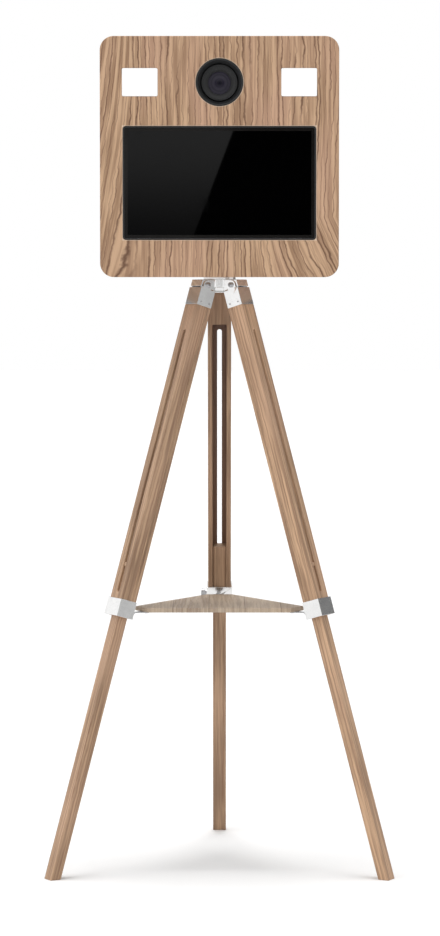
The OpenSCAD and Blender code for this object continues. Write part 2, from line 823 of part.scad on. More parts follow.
stand() front_panel();
stand() side_shell();
stand() rear_frame();
stand() rear_door();
stand() door_hinge_shell();
stand() door_hinge_door();
stand() door_hinge_pins();
stand() door_latch();
stand() connection_plate();
stand() screen_bezel();
stand() touch_glass();
stand() display_panel();
stand() display_straps();
stand() lens_port();
stand() lens_barrel();
stand() zoom_ring();
stand() front_element();
stand() camera_body();
stand() camera_bracket();
stand() shutter_button();
stand() flash_window(-1);  // flash_window_left
stand() flash_window(1);  // flash_window_right
stand() flash_head(-1);  // flash_head_left
stand() flash_head(1);  // flash_head_right
stand() booth_computer();
stand() power_supply();
stand() power_inlet();
stand() power_switch();
stand() switch_housing();
stand() fan_frame();
stand() fan_rotor();
stand() head_flange();
stand() head_bolt();
stand() hub();
stand() leg_sleeve(legs[0][1]);  // leg_sleeve_left
stand() leg_sleeve(legs[1][1]);  // leg_sleeve_right
stand() leg_sleeve(legs[2][1]);  // leg_sleeve_rear
stand() pivot_bolt(legs[0][1]);  // pivot_bolt_left
stand() pivot_bolt(legs[1][1]);  // pivot_bolt_right
stand() pivot_bolt(legs[2][1]);  // pivot_bolt_rear
stand() upper_leg(legs[0][1], legs[0][2]);  // upper_leg_left
stand() upper_leg(legs[1][1], legs[1][2]);  // upper_leg_right
stand() upper_leg(legs[2][1], legs[2][2]);  // upper_leg_rear
stand() collar(legs[0][1], legs[0][2]);  // collar_left
stand() collar(legs[1][1], legs[1][2]);  // collar_right
stand() collar(legs[2][1], legs[2][2]);  // collar_rear
stand() lower_leg(legs[0][1]);  // lower_leg_left
stand() lower_leg(legs[1][1]);  // lower_leg_right
stand() lower_leg(legs[2][1]);  // lower_leg_rear
stand() clamp_screw(legs[0][1], legs[0][2]);  // clamp_screw_left
stand() clamp_screw(legs[1][1], legs[1][2]);  // clamp_screw_right
stand() clamp_screw(legs[2][1], legs[2][2]);  // clamp_screw_rear
stand() shelf();
stand() shelf_tongue(legs[0][1]);  // shelf_tongue_left
stand() shelf_tongue(legs[1][1]);  // shelf_tongue_right
stand() shelf_tongue(legs[2][1]);  // shelf_tongue_rear
stand() shelf_pins();
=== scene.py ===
"""Photo booth: a wood-faced camera, flash and touch-screen head on a wooden tripod with a shelf."""

import json
import math

import bmesh
import bpy
import numpy as np
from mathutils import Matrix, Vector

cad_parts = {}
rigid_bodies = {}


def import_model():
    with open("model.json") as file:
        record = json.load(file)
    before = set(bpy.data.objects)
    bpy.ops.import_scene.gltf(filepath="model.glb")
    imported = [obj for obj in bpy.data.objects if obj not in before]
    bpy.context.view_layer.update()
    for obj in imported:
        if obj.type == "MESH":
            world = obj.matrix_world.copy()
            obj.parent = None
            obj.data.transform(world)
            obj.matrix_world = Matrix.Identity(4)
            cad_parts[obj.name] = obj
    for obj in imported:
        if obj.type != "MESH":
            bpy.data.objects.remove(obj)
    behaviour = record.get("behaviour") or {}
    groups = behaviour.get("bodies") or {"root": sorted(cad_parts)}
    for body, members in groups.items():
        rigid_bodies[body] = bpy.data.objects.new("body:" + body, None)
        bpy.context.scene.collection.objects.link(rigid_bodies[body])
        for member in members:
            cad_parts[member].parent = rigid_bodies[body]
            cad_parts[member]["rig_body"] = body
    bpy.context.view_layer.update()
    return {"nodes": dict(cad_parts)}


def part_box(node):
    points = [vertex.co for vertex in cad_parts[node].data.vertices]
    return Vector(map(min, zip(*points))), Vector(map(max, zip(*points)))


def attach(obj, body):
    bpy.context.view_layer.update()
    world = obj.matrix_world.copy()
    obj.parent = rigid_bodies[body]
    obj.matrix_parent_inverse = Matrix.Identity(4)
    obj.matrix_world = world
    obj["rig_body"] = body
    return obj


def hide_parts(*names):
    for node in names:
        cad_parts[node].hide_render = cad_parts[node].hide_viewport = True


bl_info = {
    "name": "Photo booth",
    "version": (1, 0, 0),
    "blender": (4, 5, 0),
    "location": "View3D > Sidebar > Photo booth",
    "description": "Dresses the photo booth's CAD frame with finishes, edges and fittings",
    "category": "Object",
}

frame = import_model()

LEGS = {"left": 210.0, "right": 330.0, "rear": 90.0}
# Colour factor of each leg's wood: the front legs' factors make their timber differ, and the rear leg's
# lower factor is painted shade.
LEG_TONE_AND_SHADE = {"left": 0.95, "right": 1.15, "rear": 0.82}


def middle(node):
    """Middle of a CAD node's box."""
    low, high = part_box(node)
    return (low + high) / 2


AXIS_Y = middle("head_bolt").y
LENS = middle("zoom_ring")
SCREEN = middle("touch_glass")
PANEL_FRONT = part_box("front_panel")[0].y
PANEL_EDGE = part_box("front_panel")[1].x
PLATE_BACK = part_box("connection_plate")[1].y
DOOR_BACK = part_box("rear_door")[1].y
BACKWARDS = (0, 1, 0)

# Laminate: the spans of X over which its grain comes to lean on the right and the left, the heights that it
# leans from, and how near the shell's top and bottom it turns along X
LEAN_RIGHT, LEAN_RIGHT_BELOW = (0.0, 0.23), 1.235
LEAN_LEFT, LEAN_LEFT_LEVEL = (-0.13, -0.215), 1.36
SHELL_TURN = 0.013

# Leg, in its own frame: the channel inside an upper leg, its sleeve's side and outer face, and the heads of
# its bolt and its nails
CHANNEL_WIDE, CHANNEL_DEEP = 0.0272, 0.0258
CHANNEL_MIDDLE, CHANNEL_TOP = -0.0027, -0.0735
SLEEVE_SIDE, SLEEVE_OUTSIDE = 0.0225, 0.0157
BOLT_OUT, BOLT_END, BOLT_HEAD = 0.003, SLEEVE_SIDE + 0.00225, 0.0042
NAIL_OUT, NAIL_UP, NAIL_HEAD = 0.009, -0.0345, 0.0016

# Shelf: left edge of the first plank, and the planks' width
PLANK_START, PLANK_WIDE = -0.360, 0.068

# Lens: how far behind its front the grooved ring starts and ends, and the grooves' length, first radius
# and narrowing
GROOVES_START, GROOVES_END = 0.0006, 0.0135
GROOVES_LONG, GROOVES_RADIUS, GROOVES_NARROW = 0.0125, 0.0308, 0.0066

# Rear: the fan screws' distance from its middle, the hinge leaf's thickness, the plate's screws along X, and
# the sockets as (x, width, height, contacts)
FAN_SCREW, HINGE_LEAF = 0.0357, 0.0018
PLATE_SCREWS = (-0.186, -0.035, 0.075, 0.192)
SOCKETS = ((-0.150, 0.013, 0.014, 8), (-0.120, 0.013, 0.014, 8),
           (-0.095, 0.014, 0.007, 4), (-0.070, 0.014, 0.007, 4))
# A socket's liner as (inset, corner radius, how far it stands out), and a contact as
# (half width, half height, corner radius, how far it stands out)
LINER = ((0.0003, 0.0009, -0.0130), (0.0003, 0.0009, 0.0002), (0.0006, 0.0008, 0.0005),
         (0.0012, 0.0006, 0.0003), (0.0014, 0.0005, -0.0115))
CONTACT = ((0.0003, 0.00022, 0.0001, -0.0114), (0.0003, 0.00022, 0.0001, -0.0022),
           (0.0002, 0.00012, 0.00005, -0.0018))


# Sizes and colours


def number(name, description, value, **limits):
    """A number property."""
    return bpy.props.FloatProperty(name=name, description=description, default=value, **limits)


def length(name, description, value, **limits):
    """A length property, in metres."""
    return number(name, description, value, unit="LENGTH", **limits)


class BoothSizes(bpy.types.PropertyGroup):
    wood_edge: length("Wood edge rounding", "Rounding of the wooden pieces' edges", 0.0011,
                      min=0.0003, max=0.002)
    metal_edge: length("Metal edge rounding", "Rounding of the metal fittings' edges", 0.0005,
                       min=0.0002, max=0.001)
    grain_lines: number("Grain lines", "Dark grain lines per metre across the head's laminate", 97.0,
                        min=40.0, max=200.0)
    leg_grain: number("Leg grain", "Grain lines per metre across the legs", 170.0, min=60.0, max=300.0)
    leg_tilt: number("Leg slope", "Slope of the legs, as in the CAD frame", math.radians(16.4),
                     subtype="ANGLE")
    pivot_height: length("Pivot height", "Height of the leg pivots, as in the CAD frame", 1.107)
    pivot_radius: length("Pivot radius", "Leg pivots' distance from the axis, as in the CAD frame", 0.035)
    lens_opening: length("Lens opening", "Radius of the panel's lens hole, as in the CAD frame", 0.0445)
    thread_rings: bpy.props.IntProperty(
        name="Lens grooves", description="Stray-light grooves inside the lens's front", default=9,
        min=3, max=16)
    display_size: bpy.props.FloatVectorProperty(
        name="Lit area", description="Width and height of the screen's lit area",
        default=(0.344, 0.194), size=2, unit="LENGTH")


def colour(name, description, value):
    """A colour property."""
    return bpy.props.FloatVectorProperty(name=name, description=description, default=value, size=3,
                                         min=0.0, max=1.0, subtype="COLOR")


class BoothColours(bpy.types.PropertyGroup):
    laminate_light: colour("Laminate, light", "Light bands of the head's wood", (0.61, 0.395, 0.242))
    laminate_dark: colour("Laminate, dark", "Darker bands of the head's wood", (0.325, 0.187, 0.103))
    laminate_line: colour("Laminate, lines", "Thin dark grain lines of the head", (0.135, 0.062, 0.032))
    cut_edge: colour("Laminate, cut edge", "Pale edge of the panel's openings", (0.76, 0.62, 0.48))
    leg_light: colour("Legs, light", "Light streaks of the legs", (0.56, 0.362, 0.222))
    leg_dark: colour("Legs, dark", "Darker streaks of the legs", (0.30, 0.182, 0.108))
    # Leg channel colour: painted shade laid into the recess of the leg channels.
    channel: colour("Leg channel", "Stained inside of the leg channels", (0.15, 0.068, 0.04))
    shelf_light: colour("Shelf, light", "Light streaks of the shelf", (0.50, 0.40, 0.30))
    shelf_dark: colour("Shelf, dark", "Darker streaks of the shelf", (0.33, 0.245, 0.18))
    nickel: colour("Nickel", "Polished plate of the leg fittings", (0.93, 0.927, 0.92))
    steel: colour("Steel", "Zinc plate of the screws, hinges and brackets", (0.56, 0.565, 0.58))
    coat: colour("Powder coat", "Rear door and frame", (0.03, 0.03, 0.033))
    plastic: colour("Black plastic", "Moulded pieces", (0.016, 0.016, 0.017))
    lens: colour("Lens black", "Anodised lens barrel", (0.01, 0.0105, 0.011))
    port: colour("Lens port", "Ring round the lens", (0.014, 0.0147, 0.0155))
    opal: colour("Opal", "Flash windows", (0.93, 0.93, 0.925))


class BoothStage(bpy.types.PropertyGroup):
    surround: number("Surround", "Light from all sides", 0.42, min=0.0, max=2.0)
    front: number("Front", "Extra light from the front left", 1.0, min=0.0, max=3.0)
    top_sun: number("Top", "Soft lamp overhead, in watts per square metre", 1.25, min=0.0, max=5.0)
    distance: length("Camera distance", "Camera in front of the tripod's axis", 5.83)
    height: length("Camera height", "Camera above the floor", 1.0811)
    pitch: number("Camera pitch", "How far the camera looks down", math.radians(3.167), subtype="ANGLE")
    lens: number("Camera lens", "Focal length in millimetres on a 36 mm sensor", 117.51)


def settings():
    """The colours and the sizes as they are set in the scene."""
    scene = bpy.context.scene
    return scene.booth_colours, scene.booth_sizes


# Shader building


class Graph:
    """Adds nodes to one tree. A value is a number, a tuple or another node's socket."""

    def __init__(self, tree):
        self.tree = tree

    def node(self, kind, values=None, **settings):
        made = self.tree.nodes.new(kind)
        for name, value in settings.items():
            setattr(made, name, value)
        for name, value in (values or {}).items():
            socket = made.inputs[name]
            if isinstance(value, bpy.types.NodeSocket):
                self.tree.links.new(value, socket)
            else:
                socket.default_value = value
        return made

    def math(self, operation, *values):
        return self.node("ShaderNodeMath", dict(enumerate(values)), operation=operation).outputs[0]

    def add(self, a, b):
        return self.math("ADD", a, b)

    def subtract(self, a, b):
        return self.math("SUBTRACT", a, b)

    def multiply(self, a, b):
        return self.math("MULTIPLY", a, b)

    def multiply_add(self, value, factor, rest):
        return self.math("MULTIPLY_ADD", value, factor, rest)

    def off(self, value, middle_at):
        """How far a value lies from a middle, either way."""
        return self.math("ABSOLUTE", self.subtract(value, middle_at))

    def beyond(self, x, z, centre, half_width, half_height):
        """How far a point lies outside an upright rectangle; negative inside it."""
        return self.math("MAXIMUM", self.subtract(self.off(x, centre.x), half_width),
                         self.subtract(self.off(z, centre.z), half_height))

    def times(self, vector, factors):
        return self.node("ShaderNodeVectorMath", {0: vector, 1: factors}, operation="MULTIPLY").outputs[0]

    def mix(self, factor, a, b):
        return self.node("ShaderNodeMix", {0: factor, 6: rgba(a), 7: rgba(b)}, data_type="RGBA").outputs[2]

    def span(self, value, low, high, to_low=0.0, to_high=1.0):
        """Smooth step of a value between low and high."""
        return self.node("ShaderNodeMapRange", {"Value": value, "From Min": low, "From Max": high,
                                                "To Min": to_low, "To Max": to_high},
                         interpolation_type="SMOOTHSTEP").outputs[0]

    def noise(self, vector, scale=1.0, detail=2.0, roughness=0.5):
        return self.node("ShaderNodeTexNoise", {"Vector": vector, "Scale": scale, "Detail": detail,
                                                "Roughness": roughness}).outputs[0]

    def chance(self, value):
        return self.node("ShaderNodeTexWhiteNoise", {"W": value}, noise_dimensions="1D").outputs[0]

    def split(self, vector):
        return self.node("ShaderNodeSeparateXYZ", {0: vector}).outputs

    def join(self, x, y, z):
        return self.node("ShaderNodeCombineXYZ", {0: x, 1: y, 2: z}).outputs[0]

    def place(self):
        return self.node("ShaderNodeTexCoord").outputs["Object"]

    def distance(self, x, z, centre):
        """Distance from a centre line along Y."""
        across = self.math("POWER", self.subtract(x, centre.x), 2.0)
        up = self.math("POWER", self.subtract(z, centre.z), 2.0)
        return self.math("SQRT", self.add(across, up))

    def bump(self, height, strength, distance):
        return self.node("ShaderNodeBump", {"Height": height, "Strength": strength,
                                            "Distance": distance}).outputs[0]


def bare(owner):
    """A graph on the emptied node tree of a world or a material."""
    owner.use_nodes = True
    owner.node_tree.nodes.clear()
    return Graph(owner.node_tree)


def rgba(value):
    """A colour with its alpha, or a socket as it is."""
    return value if isinstance(value, bpy.types.NodeSocket) else (*value[:3], 1.0)


def toned(value, *factors):
    """A colour times one factor, or times one for each of its channels."""
    return tuple(c * factor for c, factor in zip(value, factors * 3))


def use(graph, tree, **values):
    """Places a node group and sets or links its inputs; underscores stand for spaces."""
    named = {name.replace("_", " "): value for name, value in values.items()}
    return graph.node("ShaderNodeGroup", named, node_tree=tree).outputs


def start_group(name, inputs, outputs):
    """A new node group: its graph, its input sockets by name and its output node."""
    tree = bpy.data.node_groups.new(name, "ShaderNodeTree")
    for label, kind, value in inputs:
        socket = tree.interface.new_socket(label, in_out="INPUT", socket_type=kind)
        if value is not None:
            socket.default_value = value
    for label, kind in outputs:
        tree.interface.new_socket(label, in_out="OUTPUT", socket_type=kind)
    graph = Graph(tree)
    start = graph.node("NodeGroupInput")
    return graph, start.outputs, graph.node("NodeGroupOutput")


VECTOR, NUMBER = "NodeSocketVector", "NodeSocketFloat"


def grain_group():
    """Wood grain. X runs across it and Z along it. Each whole step of a wandering phase holds one line with
    its own place, width and breaks; bands and fibres are noise drawn out along Z."""
    tree = bpy.data.node_groups.get("Wood grain")
    if tree:
        return tree
    graph, given, end = start_group(
        "Wood grain",
        [("Vector", VECTOR, None), ("Lines per metre", NUMBER, 90.0), ("Wander", NUMBER, 1.4),
         ("Line width", NUMBER, 0.2), ("Breaks", NUMBER, 0.5)],
        [("Lines", NUMBER), ("Bands", NUMBER), ("Fibres", NUMBER), ("Tint", NUMBER)])
    place = given["Vector"]
    across, _, along = graph.split(place)
    slow = graph.noise(graph.times(place, (10.0, 10.0, 2.2)), detail=1.0)
    quick = graph.noise(graph.times(place, (48.0, 48.0, 34.0)), detail=3.0)
    wander = graph.multiply(graph.multiply_add(slow, 4.0, quick), given["Wander"])
    phase = graph.multiply_add(across, given["Lines per metre"], wander)
    cell = graph.math("FLOOR", phase)
    part = graph.math("FRACT", phase)
    chance = graph.chance(cell)
    other = graph.chance(graph.add(cell, 517.3))
    middle_at = graph.multiply_add(chance, 0.46, 0.27)
    width = graph.multiply(given["Line width"], graph.multiply_add(other, 0.75, 0.45))
    line = graph.span(graph.off(part, middle_at), 0.0, width, 1.0, 0.0)
    place_on_line = graph.join(graph.multiply(cell, 3.71), 0.0, graph.multiply(along, 9.0))
    broken = graph.noise(place_on_line, detail=1.0)
    shown = graph.span(broken, graph.subtract(given["Breaks"], 0.14), graph.add(given["Breaks"], 0.10),
                       0.3, 1.0)
    strong = graph.multiply_add(other, 0.5, 0.5)
    lines = graph.multiply(graph.multiply(line, shown), strong)
    bands = graph.noise(graph.times(place, (115.0, 115.0, 4.5)), detail=3.0, roughness=0.65)
    fibres = graph.noise(graph.times(place, (620.0, 620.0, 14.0)), detail=2.0, roughness=0.6)
    tint = graph.noise(graph.times(place, (13.0, 13.0, 4.0)), detail=1.0)
    for name, value in (("Lines", lines), ("Bands", bands), ("Fibres", fibres), ("Tint", tint)):
        graph.tree.links.new(value, end.inputs[name])
    return end.id_data


def marks_group():
    """Small unevenness of a used surface: soft smudges and a fine moulded or sprayed texture."""
    tree = bpy.data.node_groups.get("Surface marks")
    if tree:
        return tree
    graph, given, end = start_group(
        "Surface marks",
        [("Vector", VECTOR, None), ("Texture scale", NUMBER, 900.0), ("Smudge scale", NUMBER, 22.0)],
        [("Texture", NUMBER), ("Smudges", NUMBER)])
    texture = graph.noise(given["Vector"], given["Texture scale"], 2.0, 0.6)
    smudges = graph.noise(given["Vector"], given["Smudge scale"], 4.0, 0.65)
    graph.tree.links.new(texture, end.inputs["Texture"])
    graph.tree.links.new(smudges, end.inputs["Smudges"])
    return end.id_data


def brush_group():
    """Brushed metal: noise drawn out along X, with rare longer scratches."""
    tree = bpy.data.node_groups.get("Brushed metal")
    if tree:
        return tree
    graph, given, end = start_group("Brushed metal", [("Vector", VECTOR, None), ("Fineness", NUMBER, 1.0)],
                                    [("Streaks", NUMBER), ("Scratches", NUMBER)])
    drawn = graph.node("ShaderNodeVectorMath", {0: graph.times(given["Vector"], (30.0, 900.0, 900.0)),
                                                "Scale": given["Fineness"]}, operation="SCALE").outputs[0]
    graph.tree.links.new(graph.noise(drawn, detail=3.0), end.inputs["Streaks"])
    rare = graph.noise(graph.times(given["Vector"], (25.0, 160.0, 110.0)), detail=1.0)
    graph.tree.links.new(graph.span(rare, 0.66, 0.72), end.inputs["Scratches"])
    return end.id_data


def material(name, build, **constants):
    """A material whose Principled BSDF has its constants on its own sockets; build links what varies."""
    made = bpy.data.materials.get(name)
    if made:
        return made
    made = bpy.data.materials.new(name)
    made.use_nodes = True
    surface = made.node_tree.nodes["Principled BSDF"]
    for label, value in constants.items():
        surface.inputs[label.replace("_", " ")].default_value = value
    graph = Graph(made.node_tree)
    for label, socket in build(graph).items():
        made.node_tree.links.new(socket, surface.inputs[label])
    return made


def wood_surface(graph, place, lines_per_metre, light, dark, line, wander=1.4, width=0.2, breaks=0.5,
                 line_share=0.85, tint=None, rough=0.5):
    """Colour, roughness and relief of a grained wood from its grain group."""
    lines, bands, fibres, tints = use(graph, grain_group(), Vector=place, Lines_per_metre=lines_per_metre,
                                      Wander=wander, Line_width=width, Breaks=breaks)
    ground = graph.mix(graph.span(bands, 0.38, 0.62), dark, light)
    if tint:
        ground = graph.mix(graph.span(tints, 0.42, 0.72, 0.0, 0.55), ground, tint)
    ground = graph.mix(graph.span(fibres, 0.35, 0.75, 0.0, 0.22), ground, dark)
    shade = graph.mix(graph.multiply(lines, line_share), ground, line)
    height = graph.subtract(graph.multiply(fibres, 0.35), lines)
    return {"Base Color": shade,
            "Roughness": graph.multiply_add(fibres, 0.18, graph.multiply_add(lines, 0.15, rough)),
            "Normal": graph.bump(height, 0.35, 0.0002)}


def head_wood(graph, place):
    """The head's laminate at a place whose X runs across the grain."""
    colours, sizes = settings()
    return wood_surface(graph, place, sizes.grain_lines, colours.laminate_light, colours.laminate_dark,
                        colours.laminate_line, wander=1.15, width=0.2, breaks=0.42, line_share=0.95,
                        tint=(0.60, 0.36, 0.25))


def laminate(graph):
    """The panel's laminate: upright wavy lines that lean outwards at the lower right and the left, and that
    run on over the panel's side edges. The openings for the lens and the screen have pale cut edges."""
    colours, sizes = settings()
    x, y, z = graph.split(graph.place())
    below = graph.math("MAXIMUM", graph.subtract(LEAN_RIGHT_BELOW, z), 0.0)
    right = graph.multiply(graph.span(x, *LEAN_RIGHT), below)
    left = graph.multiply(graph.span(x, *LEAN_LEFT), graph.subtract(z, LEAN_LEFT_LEVEL))
    bend = graph.multiply_add(right, -0.45, graph.multiply(left, -0.16))
    near_edge = graph.span(graph.math("ABSOLUTE", x), PANEL_EDGE - 0.012, PANEL_EDGE - 0.002)
    over_edge = graph.multiply(graph.subtract(y, PANEL_FRONT), near_edge)
    made = head_wood(graph, graph.join(graph.add(graph.add(x, bend), over_edge), 0.0, z))
    low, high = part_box("screen_bezel")
    half = (high - low) / 2
    off_screen = graph.beyond(x, z, (low + high) / 2, half.x, half.z)
    off_lens = graph.subtract(graph.distance(x, z, LENS), sizes.lens_opening)
    rim = graph.span(graph.math("MINIMUM", off_screen, off_lens), 0.0008, 0.0019, 0.6, 0.0)
    made["Base Color"] = graph.mix(rim, made["Base Color"], colours.cut_edge)
    return made


def shell_laminate(graph):
    """The same laminate round the head's sides, turned along X on its top and bottom."""
    x, y, z = graph.split(graph.place())
    low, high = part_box("side_shell")
    off_middle = graph.off(z, (high.z + low.z) / 2)
    ends = graph.math("GREATER_THAN", off_middle, (high.z - low.z) / 2 - SHELL_TURN)
    upright = graph.join(graph.add(graph.math("ABSOLUTE", x), y), 0.0, z)
    lying = graph.join(graph.add(off_middle, y), 0.0, x)
    return head_wood(graph, graph.node("ShaderNodeMix", {0: ends, 4: upright, 5: lying},
                                       data_type="VECTOR").outputs[1])


def leg_place(graph, angle):
    """Object coordinates in a leg's own frame: X outwards, Y across, Z up along the leg from its pivot."""
    sizes = bpy.context.scene.booth_sizes
    turn, reach = math.radians(angle), sizes.pivot_radius
    at = (reach * math.cos(turn), AXIS_Y + reach * math.sin(turn), sizes.pivot_height)
    return graph.node("ShaderNodeMapping", {"Vector": graph.place(), "Location": at,
                                            "Rotation": (0.0, -sizes.leg_tilt, turn)},
                      vector_type="TEXTURE").outputs[0]


def leg_wood(angle, tone, channelled):
    """Smooth hardwood along a leg, with painted shade darkening the channel inside an upper leg. Each leg's
    colour is scaled by its own factor; the front legs' factors make their timber differ, the rear leg's
    lower factor is painted shade."""
    def build(graph):
        colours, sizes = settings()
        x, y, z = graph.split(leg_place(graph, angle))
        place = graph.join(graph.add(graph.add(x, y), angle * 0.013), 0.0, graph.add(z, angle * 0.07))
        # The leg's colour factor applied here holds painted shade for the rear leg.
        made = wood_surface(graph, place, sizes.leg_grain, toned(colours.leg_light, tone),
                            toned(colours.leg_dark, tone), (0.23, 0.115, 0.065), wander=0.8, width=0.34,
                            breaks=0.48, line_share=0.62, tint=(0.60, 0.38, 0.25), rough=0.42)
        if channelled:
            # Painted shade: the recess of the channel inside an upper leg is darkened towards the channel
            # colour.
            between = graph.math("LESS_THAN", graph.math("ABSOLUTE", y), CHANNEL_WIDE / 2)
            deep = graph.math("LESS_THAN", graph.off(x, CHANNEL_MIDDLE), CHANNEL_DEEP / 2)
            below = graph.math("LESS_THAN", z, CHANNEL_TOP)
            channel_painted_shade = graph.multiply(graph.multiply(between, graph.multiply(deep, below)), 0.72)
            made["Base Color"] = graph.mix(channel_painted_shade, made["Base Color"], colours.channel)
        return made
    return build


def shelf_wood(graph):
    """Thin planks side by side along Y, with fine dark joints and pale grain."""
    colours = bpy.context.scene.booth_colours
    x, y, _ = graph.split(graph.place())
    plank = graph.math("DIVIDE", graph.subtract(x, PLANK_START), PLANK_WIDE)
    cell = graph.math("FLOOR", plank)
    place = graph.join(graph.multiply_add(cell, 0.31, x), 0.0, graph.multiply_add(cell, 1.7, y))
    made = wood_surface(graph, place, 150.0, colours.shelf_light, colours.shelf_dark, (0.26, 0.17, 0.105),
                        wander=1.0, width=0.3, line_share=0.4, tint=(0.54, 0.40, 0.27))
    paler = graph.mix(graph.multiply(graph.chance(cell), 0.28), made["Base Color"], (0.62, 0.50, 0.37))
    joint = graph.span(graph.off(graph.math("FRACT", plank), 0.5), 0.485, 0.496)
    made["Base Color"] = graph.mix(graph.multiply(joint, 0.75), paler, (0.12, 0.075, 0.045))
    return made


def metal(colour_name, base_rough, spread, texture=1.0):
    """Plated metal: its colour varies a little with smudges, its roughness with brushing."""
    def build(graph):
        shade = getattr(bpy.context.scene.booth_colours, colour_name)
        place = graph.place()
        streaks, scratches = use(graph, brush_group(), Vector=place, Fineness=texture)
        _, smudges = use(graph, marks_group(), Vector=place, Smudge_scale=45.0)
        scratched = graph.multiply_add(scratches, 0.5 * spread, base_rough)
        return {"Base Color": graph.mix(graph.span(smudges, 0.35, 0.7), shade, toned(shade, 0.93)),
                "Roughness": graph.multiply_add(streaks, spread, scratched),
                "Normal": graph.bump(streaks, 0.03, 0.0001)}
    return build


def sleeve_metal(angle):
    """Nickel plate of a leg's sleeve, with painted shade darkening its outer face."""
    plated = metal("nickel", 0.13, 0.06)

    def build(graph):
        made = plated(graph)
        out, _, _ = graph.split(leg_place(graph, angle))
        # Painted shade: the sleeve's outer face gets a darker plate colour than its sides.
        outside = graph.span(out, SLEEVE_OUTSIDE - 0.0007, SLEEVE_OUTSIDE)
        outer_face_painted_shade = toned(bpy.context.scene.booth_colours.nickel, 0.79, 0.80, 0.81)
        made["Base Color"] = graph.mix(outside, made["Base Color"], outer_face_painted_shade)
        return made
    return build


def moulded(colour_name, rough, scale, strength, lighter=1.6):
    """Moulded plastic, anodised metal or powder coat: fine texture, smudged roughness."""
    def build(graph):
        shade = getattr(bpy.context.scene.booth_colours, colour_name)
        texture, smudges = use(graph, marks_group(), Vector=graph.place(), Texture_scale=scale)
        return {"Base Color": graph.mix(graph.span(smudges, 0.35, 0.8), shade, toned(shade, lighter)),
                "Roughness": graph.multiply_add(smudges, 0.22, rough - 0.1),
                "Normal": graph.bump(texture, strength, 0.00025)}
    return build


def zinc(graph):
    """Zinc-plated sheet with its faint crystal flakes."""
    shade = bpy.context.scene.booth_colours.steel
    place = graph.place()
    flakes = graph.node("ShaderNodeTexVoronoi", {"Vector": place, "Scale": 110.0}).outputs["Color"]
    flake = graph.split(flakes)[0]
    texture, smudges = use(graph, marks_group(), Vector=place)
    return {"Base Color": graph.mix(flake, toned(shade, 0.72), shade),
            "Roughness": graph.multiply_add(flake, 0.2, graph.multiply_add(smudges, 0.15, 0.25)),
            "Normal": graph.bump(texture, 0.1, 0.0001)}


def screen_face(graph):
    """Black glass: a printed border round the lit area, fingerprints in its gloss."""
    wide, tall = bpy.context.scene.booth_sizes.display_size
    x, _, z = graph.split(graph.place())
    border = graph.span(graph.beyond(x, z, SCREEN, wide / 2, tall / 2), -0.0002, 0.0004)
    _, smudges = use(graph, marks_group(), Vector=graph.place(), Smudge_scale=14.0)
    fingered = graph.span(smudges, 0.5, 0.75)
    return {"Base Color": graph.mix(border, (0.0002, 0.0002, 0.0003), (0.008, 0.0072, 0.0066)),
            "Roughness": graph.multiply_add(fingered, 0.06, graph.multiply_add(border, 0.09, 0.02))}


def element_face(graph):
    """Coated lens glass: dark rings of blue and violet round a darker pupil."""
    x, _, z = graph.split(graph.place())
    radius = graph.distance(x, z, LENS)
    pupil = graph.span(radius, 0.003, 0.008)
    ring = graph.math("PINGPONG", graph.multiply(radius, 260.0), 1.0)
    outer = graph.mix(graph.span(ring, 0.1, 0.9), (0.016, 0.013, 0.026), (0.030, 0.026, 0.042))
    return {"Base Color": graph.mix(pupil, (0.006, 0.005, 0.013), outer),
            "Roughness": graph.multiply_add(ring, 0.1, 0.24)}


def opal_face(graph):
    """Opal flash window with a fine prism pattern."""
    shade = bpy.context.scene.booth_colours.opal
    x, _, z = graph.split(graph.place())
    wave = graph.add(*(graph.math("SINE", graph.multiply(along, 2600.0)) for along in (x, z)))
    _, smudges = use(graph, marks_group(), Vector=graph.place(), Smudge_scale=30.0)
    return {"Base Color": graph.mix(smudges, shade, tuple(min(1.0, c * 1.04) for c in shade)),
            "Roughness": graph.multiply_add(smudges, 0.1, 0.2),
            "Normal": graph.bump(wave, 0.12, 0.0001)}


def contact_face(graph):
    """Gold-plated contacts with fine drawing marks."""
    streaks, _ = use(graph, brush_group(), Vector=graph.place())
    return {"Base Color": graph.mix(streaks, (0.62, 0.42, 0.14), (0.85, 0.62, 0.25)),
            "Roughness": graph.multiply_add(streaks, 0.2, 0.2)}


